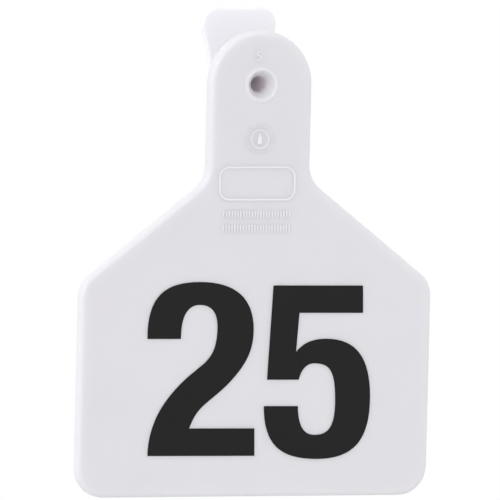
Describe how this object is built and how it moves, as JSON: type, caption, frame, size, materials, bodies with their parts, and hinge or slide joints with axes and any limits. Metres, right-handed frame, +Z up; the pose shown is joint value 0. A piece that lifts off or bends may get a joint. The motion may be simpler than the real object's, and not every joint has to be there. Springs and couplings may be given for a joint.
{
  "type": "livestock ear tag",
  "caption": "One-piece soft plastic ear tag for livestock: a flat numbered panel with a rounded neck, a hollow post and a self-piercing winged head.",
  "frame": {"origin": "on the post's axis, half way along the free post between the neck's back and the head's front", "axes": "+Z up as the tag hangs, +Y along the post from the numbered face to the point, so the face looks to -Y"},
  "size_m": [0.076, 0.027, 0.099],
  "materials": {
    "white_urethane": "satin white thermoplastic polyurethane",
    "black_ink": "matt black marking ink"
  },
  "bodies": {
    "root": {"tag_body": "white_urethane"}
  },
  "joints": []
}
